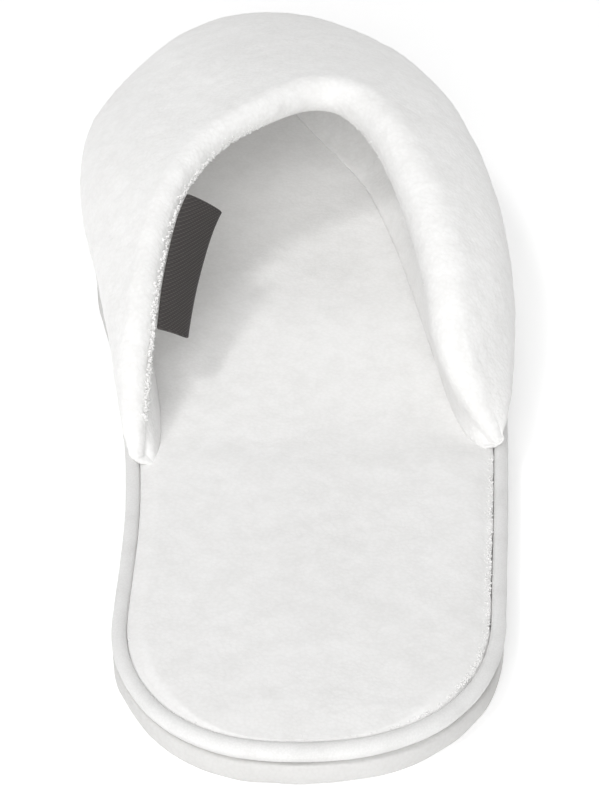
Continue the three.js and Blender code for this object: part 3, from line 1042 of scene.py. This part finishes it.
    def dents(self, at: np.ndarray, share: np.ndarray) -> np.ndarray:
        """Return the depth of the soft dents, each a bell that falls off both ways."""
        depth = np.zeros((len(at), len(share)))
        for station, across, wide, tall, deep in DENTS:
            spread = ((at[:, None] - station) / wide) ** 2 + ((share[None] - across) / tall) ** 2
            depth += deep * self.last.wall * np.exp(-spread)
        return depth * soft_step((1 - share) / 0.2)[None] * soft_step(share / 0.15)[None]

    def stations_at(self) -> np.ndarray:
        """Return the stations, drawn a little closer together towards the two ends."""
        even = np.linspace(-1, 1, self.stations)
        return 0.65 * even + 0.35 * np.sin(np.pi / 2 * even)

    def relief(self, wall: np.ndarray) -> np.ndarray:
        """Return how far the padding and the pile stand out at each point of the wall.

        Broad noise is the padding, two fine ones are the pile, and ripples of noise along the
        seam are the gathers of the cloth; all fade at the seam itself.
        """
        columns = wall.shape[1]
        share = np.zeros(columns)
        share[: self.outer_steps] = np.linspace(0, 1, self.outer_steps)
        share[self.outer_steps :] = 1.0
        share[-self.inner_steps :] = np.linspace(1, 0, self.inner_steps)
        fade = soft_step(share / 0.12)
        outside = np.ones(columns)
        outside[-self.inner_steps :] = 0.5
        broad = value_noise(wall, 26 * MM, 31) + 0.55 * value_noise(wall, 12 * MM, 32)
        fine = value_noise(wall, 3.1 * MM, 33) + 0.8 * value_noise(wall, 1.7 * MM, 34)
        seam = np.exp(-(((share - 0.1) / 0.1) ** 2))
        ripple = value_noise(wall * np.array([1, 1, 0.15]), 6.5 * MM, 35)
        body = (self.puff * 0.6 * broad + self.pile * fine) * fade * outside
        return body + self.gather * ripple * seam * outside

    def soften(self, wall: np.ndarray, at: np.ndarray) -> np.ndarray:
        """Return the sections with their corners rounded off towards the two ends.

        Each step moves a point a quarter of the way to the mean of its neighbours along the
        section, except near the seam and the foot of the wall.
        """
        columns = np.arange(wall.shape[1])
        held = soft_step(np.minimum(columns, columns[::-1]) / 14)
        near_ends = soft_step((np.abs(at) - 0.68) / 0.22)
        weight = 0.25 * (near_ends[:, None] * held[None])[..., None]
        for _ in range(self.softening):
            wall = wall + weight * (np.roll(wall, 1, 1) + np.roll(wall, -1, 1) - 2 * wall)
        return wall

    def build(self) -> bpy.types.Object:
        """Build the upper, with each end closed by rings that shrink to a round nose."""
        at = self.stations_at()
        wall = self.soften(self.wall(at), at)
        normals = -grid_normals(wall, True)
        wall = wall - normals * self.relief(wall)[..., None]
        noses = [self.nose(wall[0], wall[1]), self.nose(wall[-1], wall[-2])]
        rings = np.concatenate([noses[0][::-1], wall, noses[1]])
        index = np.arange(rings.shape[0] * rings.shape[1]).reshape(rings.shape[:2])
        hubs = np.stack([rings[0].mean(0), rings[-1].mean(0)])
        first, last = np.array([index.size, index.size + 1])
        start = np.stack([index[0], np.roll(index[0], -1), np.full(index.shape[1], first)], -1)
        end = np.stack([np.roll(index[-1], -1), index[-1], np.full(index.shape[1], last)], -1)
        points = np.concatenate([rings.reshape(-1, 3), hubs])
        faces = [grid_quads(index, True), np.concatenate([start, end])]
        return make_mesh("terry_upper", self.last.place(points), faces)

    def nose(self, ring: np.ndarray, inner: np.ndarray) -> np.ndarray:
        """Return rings that carry an end section on in a quarter round."""
        middle = ring.mean(0)
        ahead = unit(middle - inner.mean(0)) * np.array([1.0, 1.0, 0.0])
        angle = np.linspace(0, np.pi / 2, self.end_rings + 1)[1:, None, None] * 0.94
        return middle + (ring - middle) * np.cos(angle) + ahead * self.end_round * np.sin(angle)


@dataclass(frozen=True)
class Tufts:
    """Nubs of pile that stand proud of an edge, each a small lump half sunk in the cloth."""

    last: Last
    upper: Upper
    seed: int = 7
    sunk: float = 0.35
    sides: int = 5

    def lumps(
        self, base: np.ndarray, normal: np.ndarray, size: np.ndarray, draw: np.random.Generator
    ) -> tuple[np.ndarray, np.ndarray]:
        """Return the points and triangles of many lumps.

        A lump is two staggered rings of five corners between two tips, as in an icosahedron,
        stretched along its own leaning direction and sunk into its base.

        Args:
            base: Where each lump stands, shape (count, 3).
            normal: The direction it stands in.
            size: Its half height.
            draw: Source of the random turns.

        Returns:
            Points of shape (all, 3) and triangles.
        """
        count, sides = len(base), self.sides
        lean = unit(normal + draw.normal(scale=0.45, size=(count, 3)))
        first = unit(np.cross(lean, draw.normal(size=(count, 3))))
        second = np.cross(lean, first)
        angle = np.arange(sides) * 2 * np.pi / sides
        low = np.stack([np.cos(angle), np.sin(angle), np.full(sides, -0.5)], axis=-1)
        turned = angle + np.pi / sides
        high = np.stack([np.cos(turned), np.sin(turned), np.full(sides, 0.5)], axis=-1)
        shape = np.concatenate([[[0, 0, -1.1]], low * 0.9, high * 0.9, [[0, 0, 1.1]]])
        wide = size * draw.uniform(0.5, 0.85, count)
        middle = base + lean * (size * (1 - 2 * self.sunk))[:, None]
        points = (
            middle[:, None]
            + shape[None, :, :1] * (first * wide[:, None])[:, None]
            + shape[None, :, 1:2] * (second * wide[:, None])[:, None]
            + shape[None, :, 2:] * (lean * size[:, None])[:, None]
        )
        k = np.arange(sides)
        after = (k + 1) % sides
        bottom, top, tip = 1 + k, 1 + sides + k, np.full(sides, 2 * sides + 1)
        faces = [
            np.stack([np.zeros_like(k), 1 + after, bottom], axis=-1),
            np.stack([bottom, 1 + after, top], axis=-1),
            np.stack([1 + after, 1 + sides + after, top], axis=-1),
            np.stack([top, 1 + sides + after, tip], axis=-1),
        ]
        one = np.concatenate(faces)
        offsets = np.arange(count)[:, None, None] * len(shape)
        return points.reshape(-1, 3), (one[None] + offsets).reshape(-1, 3)

    def throat(self, count: int = 1800) -> bpy.types.Object:
        """Build the nubs of the rolled throat edge, most and largest on the medial side."""
        draw = np.random.default_rng(self.seed)
        at = 1.62 * np.sqrt(draw.uniform(0, 1, count)) - 0.68
        roll = self.upper.roll(at)
        angle = draw.normal(2.4, 0.2, count)[:, None]
        normal = np.cos(angle) * roll.normal + np.sin(angle) * roll.inward
        base = roll.middle + normal * roll.radius[:, None]
        medial = soft_step((at - 0.25) / 0.2)
        size = draw.uniform(0.4, 1.0, count) ** 2 * (0.28 + 0.3 * medial) * MM
        points, faces = self.lumps(base, normal, size, draw)
        return make_mesh("throat_nubs", self.last.place(points), [faces])

    def footbed_edge(self, count: int = 1000) -> bpy.types.Object:
        """Build the nubs along the insole's ragged lateral edge, with a few on the other side."""
        draw = np.random.default_rng(self.seed + 1)
        plan, outward = self.last.outline(900)
        reach = 0.5 * (self.last.lateral_end + self.last.medial_end) * self.last.length
        ragged = soft_step((plan[:, 0] / self.last.ball_width + 0.1) / 0.45) + 0.04
        odds = np.where(plan[:, 1] < reach, ragged, 0.0)
        pick = draw.choice(len(plan), count, p=odds / odds.sum())
        inset = self.last.seam_inset + draw.uniform(0.1, 1.5, count) ** 1.5 * MM
        flat = plan[pick] - outward[pick] * inset[:, None]
        base = np.concatenate([flat, np.full((count, 1), self.last.insole_top)], axis=-1)
        edge = np.concatenate([outward[pick], np.zeros((count, 1))], axis=-1)
        normal = unit(edge * draw.uniform(0.1, 0.8, (count, 1)) + np.array([0, 0, 1.0]))
        size = draw.uniform(0.4, 1.0, count) ** 2 * 0.38 * MM
        points, faces = self.lumps(base, normal, size, draw)
        return make_mesh("footbed_nubs", self.last.place(points), [faces])


@dataclass(frozen=True)
class WovenLabel:
    """The plain woven tape, sewn along the inside of the medial throat edge."""

    last: Last
    upper: Upper
    start: float = 0.47
    end: float = 0.765
    sewn: float = 10.0
    droop: float = 16.0
    width: float = 9.6 * MM
    narrowing: float = 0.2
    thickness: float = 0.7 * MM
    rows: int = 90
    columns: int = 22
    ripple: float = 0.12 * MM
    sag: float = 3.2 * MM

    def build(self) -> bpy.types.Object:
        """Build the tape.

        Across its width the tape leaves the roll at the sewn angle below the horizontal and
        turns down evenly by the droop, and its free edge sags a little more. Both faces lie half
        its thickness from that line, and its long edges are rounded by a thickness that falls
        off towards them.
        """
        at = np.linspace(self.start, self.end, self.rows)
        roll = self.upper.roll(at)
        inward = unit(np.stack([-roll.run[:, 1], roll.run[:, 0], np.zeros(self.rows)], -1))[:, None]
        up = np.array([0, 0, 1.0])
        share = np.linspace(0, 1, self.columns)
        angle = np.radians(self.sewn + self.droop * share)[None, :, None]
        width = self.width * (1 - self.narrowing * np.linspace(0, 1, self.rows))[:, None, None]
        step = width / (self.columns - 1)
        begin = np.radians(self.sewn)
        distance = (roll.radius + self.last.clearance + self.thickness / 2)[:, None, None]
        sewn = distance * (np.cos(begin) * inward - np.sin(begin) * up)
        walk = step * (np.cos(angle) * inward - np.sin(angle) * up)
        line = roll.middle[:, None] + sewn + np.cumsum(walk, axis=1) - walk
        facing = np.sin(angle) * inward + np.cos(angle) * up
        line = line + self.sag * share[None, :, None] ** 1.5 * np.array([0.0, 0.81, -0.59])
        line = line + facing * self.ripple * value_noise(line, 7 * MM, 41)[..., None]
        edge = np.sqrt(np.clip(1 - np.abs(2 * share - 1) ** 14, 0.04, 1))[None, :, None]
        half = self.thickness / 2 * edge
        ring = np.concatenate([line + facing * half, (line - facing * half)[:, ::-1]], axis=1)
        index = np.arange(ring.shape[0] * ring.shape[1]).reshape(ring.shape[:2])
        low, high = index[:, : self.columns], index[:, : self.columns - 1 : -1]
        caps = [
            np.stack([low[0, :-1], low[0, 1:], high[0, 1:], high[0, :-1]], axis=-1),
            np.stack([low[-1, 1:], low[-1, :-1], high[-1, :-1], high[-1, 1:]], axis=-1),
        ]
        faces = [np.concatenate([grid_quads(index, True), *caps])]
        return make_mesh("woven_label", self.last.place(ring.reshape(-1, 3)), faces)


# The studio


@dataclass(frozen=True)
class Studio:
    """A plain white floor with a low white wall round it, soft lights and the photo's camera."""

    elevation: float = 36.0
    distance: float = 0.690
    lens: float = 126.2
    look_from_heel: float = 136.1 * MM
    floor_size: float = 6.0
    wall_height: float = 0.8

    def floor(self) -> bpy.types.Object:
        """Build the floor and its wall, plain white with a glow that is fainter near the shoe."""
        half = self.floor_size / 2
        plan = np.array([[-half, -half], [half, -half], [half, half], [-half, half]])
        low = np.concatenate([plan, np.zeros((4, 1))], axis=-1)
        high = low + np.array([0.0, 0.0, self.wall_height])
        walls = grid_quads(np.arange(8).reshape(2, 4), True)
        floor = make_mesh("floor", np.concatenate([low, high]), [np.array([[0, 1, 2, 3]]), walls])
        floor.data.shade_flat()
        sheet = NodeSheet("floor_white")
        grain = sheet.noise(0.05, 2.0)
        white = sheet.blend(grain, (0.78, 0.78, 0.78), (0.8, 0.8, 0.8))
        away = sheet.node(
            "ShaderNodeVectorMath", {"operation": "LENGTH"}, {0: sheet.place}, output="Value"
        )
        glow = sheet.blend(away.step(0.3, 1.3), (0.36, 0.36, 0.36), (0.45, 0.45, 0.45))
        values = {"Base Color": white, "Roughness": 0.9, "Specular IOR Level": 0.1}
        values |= {"Emission Color": glow, "Emission Strength": 1.0}
        floor.data.materials.append(sheet.surface(values))
        return floor

    def light(
        self, name: str, place: tuple[float, float, float], size: float, power: float
    ) -> None:
        """Hang a square soft light that faces the middle of the shoe."""
        data = bpy.data.lights.new(name, "AREA")
        data.size = size
        data.energy = power
        lamp = bpy.data.objects.new(name, data)
        bpy.context.scene.collection.objects.link(lamp)
        lamp.location = place
        lamp.rotation_euler = (-lamp.location).to_track_quat("-Z", "Y").to_euler()

    def camera(self, last: Last) -> None:
        """Set the camera behind the heel, looking along the shoe and down at the fitted angle."""
        data = bpy.data.cameras.new("camera")
        data.lens = self.lens
        camera = bpy.data.objects.new("camera", data)
        bpy.context.scene.collection.objects.link(camera)
        tilt = np.radians(self.elevation)
        x = -last.middle * last.ball_width
        y = self.look_from_heel - last.length / 2
        back, up = self.distance * np.cos(tilt), self.distance * np.sin(tilt)
        camera.location = (x, y - back, up)
        camera.rotation_euler = (np.pi / 2 - tilt, 0.0, 0.0)
        bpy.context.scene.camera = camera

    def build(self, last: Last) -> None:
        """Build the floor, the lights, the sky and the camera."""
        self.floor()
        self.light("key", (-0.72, -0.72, 1.8), 0.3, 9.0)
        self.light("fill", (-0.15, -1.4, 1.05), 0.9, 18.5)
        self.light("top", (0.1, 0.9, 1.5), 1.4, 7.5)
        self.light("toe medial", (-0.6, 0.9, 1.5), 1.2, 2.0)
        self.light("toe lateral", (0.5, 0.8, 1.6), 1.2, 2.0)
        world = bpy.data.worlds.new("studio")
        world.use_nodes = True
        sky = world.node_tree.nodes["Background"]
        sky.inputs["Color"].default_value = (1.0, 1.0, 1.0, 1.0)
        sky.inputs["Strength"].default_value = 0.06
        bpy.context.scene.world = world
        bpy.context.scene.view_settings.view_transform = "Standard"
        self.camera(last)


@dataclass
class Slipper:
    """The whole slipper: its pieces, what each stands for, and its finish."""

    last: Last = field(default_factory=Last)

    def dress(
        self, piece: bpy.types.Object, nodes: tuple[str, ...], finish: bpy.types.Material
    ) -> bpy.types.Object:
        """Give a piece its material, its body and the nodes it replaces."""
        piece.data.materials.append(finish)
        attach(piece, "root")
        if nodes:
            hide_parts(*nodes)
        LOG.info("%s: %d vertices", piece.name, len(piece.data.vertices))
        return piece

    def build(self) -> None:
        """Build and dress every piece."""
        upper = Upper(self.last)
        terry, pile = UPPER_TERRY.material(), INSOLE_TERRY.material()
        sheet, rim = Outsole(self.last).build(), WrappedRim(self.last).build()
        self.dress(sheet, ("outsole",), FoamFinish().material())
        self.dress(rim, ("midsole",), KnitFinish().material())
        footbed = self.dress(Footbed(self.last).build(), ("insole",), pile)
        shell = self.dress(upper.build(), ("upper",), terry)
        tape = TapeFinish().material()
        self.dress(WovenLabel(self.last, upper).build(), ("label",), tape)
        tufts = Tufts(self.last, upper)
        self.dress(tufts.throat(), (), terry)
        self.dress(tufts.footbed_edge(), (), pile)


def main() -> None:
    """Load the frame, build the slipper and its studio."""
    logging.basicConfig(level=logging.INFO, format="%(name)s %(message)s")
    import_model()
    slipper = Slipper()
    slipper.build()
    Studio().build(slipper.last)


if __name__ == "__main__":
    main()
